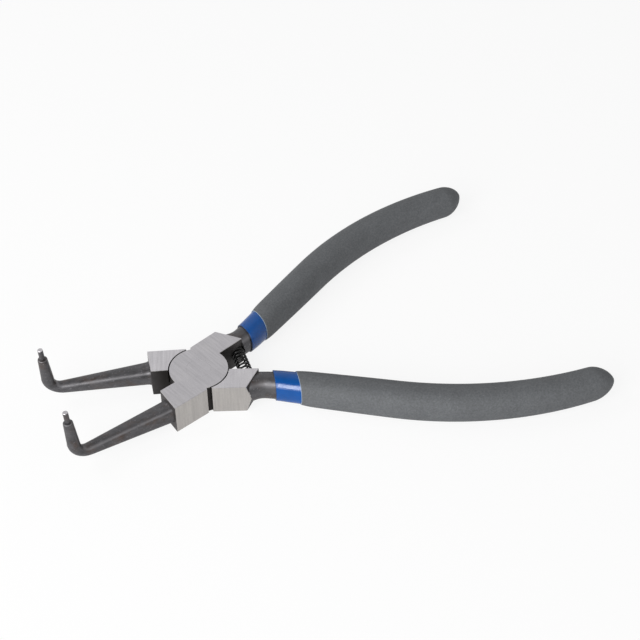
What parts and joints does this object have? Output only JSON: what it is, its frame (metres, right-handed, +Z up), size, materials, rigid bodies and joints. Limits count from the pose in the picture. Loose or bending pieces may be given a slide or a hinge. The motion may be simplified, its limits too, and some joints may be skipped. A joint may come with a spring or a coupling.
{
  "type": "circlip pliers",
  "caption": "Hand pliers with upturned round tips for fitting internal circlips: crossing levers on a riveted lap joint, a coil opening spring and curved dipped grips.",
  "frame": {"origin": "on the pivot axis at the joint's underside, the plane that the tool lies on", "axes": "+X along the tool's centre line from the pivot to the handles, +Z up along the pivot axis, the way the tips turn up"},
  "size_m": [0.1795, 0.1212, 0.0248],
  "materials": {
    "lever_steel": "black-oxide forged steel, with the joint's outer faces ground bright",
    "rivet_steel": "ground flush with the joint",
    "spring_wire": "black spring wire",
    "blue_sleeve": "glossy dipped vinyl",
    "grey_grip": "matte, finely grained dipped vinyl"
  },
  "bodies": {
    "upper_half": {"upper_lever": "lever_steel", "pivot_rivet": "rivet_steel", "opening_spring": "spring_wire", "upper_sleeve": "blue_sleeve", "upper_grip": "grey_grip"},
    "lower_half": {"lower_lever": "lever_steel", "lower_sleeve": "blue_sleeve", "lower_grip": "grey_grip"}
  },
  "joints": [
    {"name": "pivot", "type": "hinge", "parent": "upper_half", "child": "lower_half", "pos_m": [0, 0, 0], "axis": [0, 0, 1], "range_deg": [-7, 31], "stiffness_Nm_per_rad": 0.8, "deforming": ["opening_spring"]}
  ]
}
